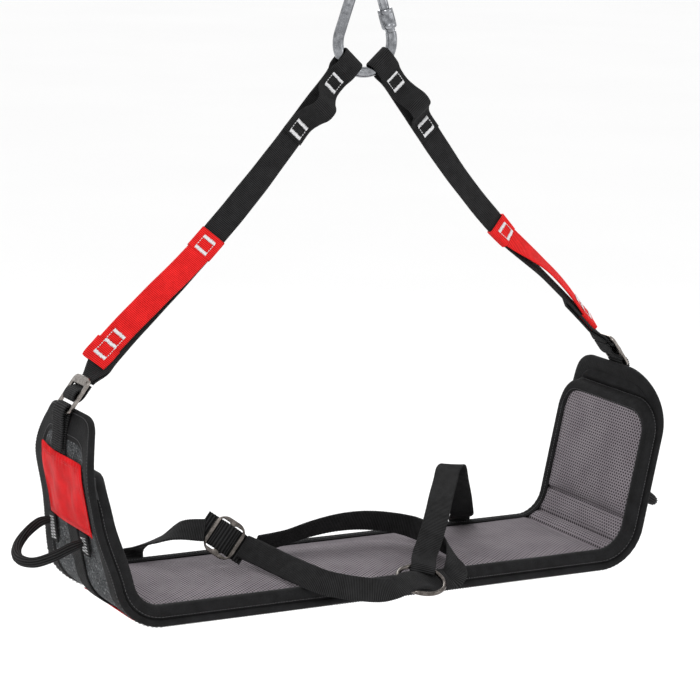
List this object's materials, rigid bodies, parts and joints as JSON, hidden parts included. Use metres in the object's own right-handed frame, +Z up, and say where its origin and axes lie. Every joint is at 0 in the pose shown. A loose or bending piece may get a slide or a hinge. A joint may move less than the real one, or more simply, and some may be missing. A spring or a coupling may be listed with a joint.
{
  "type": "suspended work seat",
  "caption": "Padded U-shaped seat with upturned wings, hung by two webbing straps from a locking carabiner, with a retaining strap, gear loops and strap-adjusting buckles.",
  "frame": {"origin": "inside of the carabiner's narrow top, where the seat hangs", "axes": "+Z up along the hanging line, +X along the seat's length from wing to wing, -Y towards the sitter's front edge"},
  "size_m": [0.7374, 0.2255, 0.6168],
  "materials": {
    "black_webbing": "woven polyester webbing, fine cross ribs",
    "red_webbing": "woven polyester webbing, fine cross ribs",
    "red_fabric": "plain woven pack cloth",
    "grey_felt": "flecked felt-like cloth",
    "grey_mesh": "spacer mesh with small holes",
    "foam": "closed-cell foam",
    "stiff_board": "semi-stiff sheet",
    "polished_steel": "polished",
    "gunmetal_steel": "dark tumbled steel"
  },
  "bodies": {
    "connector": {"carabiner_body": "polished_steel", "gate_pin": "polished_steel"},
    "gate": {"carabiner_gate": "polished_steel", "gate_spring": "polished_steel"},
    "sleeve": {"lock_sleeve": "polished_steel"},
    "strap_left": {"left_strap_head": "black_webbing", "left_strap_run": "black_webbing", "left_strap_tail": "black_webbing", "left_red_keeper": "red_webbing"},
    "strap_right": {"right_strap_head": "black_webbing", "right_strap_run": "black_webbing", "right_strap_tail": "black_webbing", "right_red_keeper": "red_webbing"},
    "buckle_left": {"left_buckle": "gunmetal_steel", "left_strap_turn": "black_webbing"},
    "buckle_right": {"right_buckle": "gunmetal_steel", "right_strap_turn": "black_webbing"},
    "gear_left": {"left_gear_loop": "black_webbing"},
    "gear_right": {"right_gear_loop": "black_webbing"},
    "seat": {"pad_binding": "black_webbing", "shell_binding": "black_webbing", "load_webbing": "black_webbing", "retainer_rear_web": "black_webbing", "retainer_front_web": "black_webbing", "retainer_back_web": "black_webbing", "cross_web": "black_webbing", "left_wing_lining": "black_webbing", "left_wing_loop": "black_webbing", "left_gear_loop_base": "black_webbing", "right_wing_lining": "black_webbing", "right_wing_loop": "black_webbing", "right_gear_loop_base": "black_webbing", "left_wing_patch": "red_fabric", "right_wing_patch": "red_fabric", "underside_panel": "red_fabric", "outer_shell": "grey_felt", "pad_mesh_cover": "grey_mesh", "seat_foam": "foam", "left_lower_fold_foam": "foam", "left_upper_fold_foam": "foam", "left_wing_foam": "foam", "right_lower_fold_foam": "foam", "right_upper_fold_foam": "foam", "right_wing_foam": "foam", "seat_board": "stiff_board", "left_wing_stiffener": "stiff_board", "right_wing_stiffener": "stiff_board", "retainer_ring": "polished_steel", "retainer_slider": "gunmetal_steel"}
  },
  "joints": [
    {"name": "seat_lift", "type": "slide", "parent": "connector", "child": "seat", "axis": [0, 0, 1], "range_m": [0, 0.06], "deforming": ["left_strap_run", "left_strap_tail", "left_red_keeper", "right_strap_run", "right_strap_tail", "right_red_keeper"]},
    {"name": "strap_left_swing", "type": "hinge", "parent": "connector", "child": "strap_left", "pos_m": [0, 0, -0.0595], "axis": [0, 1, 0], "range_deg": [0, 5.5]},
    {"name": "strap_right_swing", "type": "hinge", "parent": "connector", "child": "strap_right", "pos_m": [0, 0, -0.0595], "axis": [0, -1, 0], "range_deg": [0, 5.5]},
    {"name": "buckle_left_tilt", "type": "hinge", "parent": "seat", "child": "buckle_left", "pos_m": [-0.3176, 0, -0.40273], "axis": [0, 1, 0], "range_deg": [0, 5.5]},
    {"name": "buckle_right_tilt", "type": "hinge", "parent": "seat", "child": "buckle_right", "pos_m": [0.3176, 0, -0.40273], "axis": [0, -1, 0], "range_deg": [0, 5.5]},
    {"name": "gear_left_flex", "type": "hinge", "parent": "seat", "child": "gear_left", "pos_m": [-0.3115, 0.014, -0.526], "axis": [0, 1, 0], "range_deg": [-20, 25], "stiffness_Nm_per_rad": 0.3},
    {"name": "gear_right_flex", "type": "hinge", "parent": "seat", "child": "gear_right", "pos_m": [0.3115, 0.014, -0.526], "axis": [0, -1, 0], "range_deg": [-20, 25], "stiffness_Nm_per_rad": 0.3},
    {"name": "gate_swing", "type": "hinge", "parent": "connector", "child": "gate", "pos_m": [0.01531, 0, -0.01021], "axis": [0, 1, 0], "range_deg": [0, 25], "stiffness_Nm_per_rad": 0.15, "springref_deg": -17.19},
    {"name": "sleeve_turn", "type": "hinge", "parent": "gate", "child": "sleeve", "pos_m": [0.02848, 0, -0.05009], "axis": [-0.3137, 0, 0.9495], "range_deg": [0, 90], "stiffness_Nm_per_rad": 0.02}
  ],
  "couplings": [
    {"joint": "strap_left_swing", "follows": "seat_lift", "rad_per_m": 1.5767},
    {"joint": "strap_right_swing", "follows": "seat_lift", "rad_per_m": 1.5767},
    {"joint": "buckle_left_tilt", "follows": "seat_lift", "rad_per_m": 1.5767},
    {"joint": "buckle_right_tilt", "follows": "seat_lift", "rad_per_m": 1.5767}
  ]
}
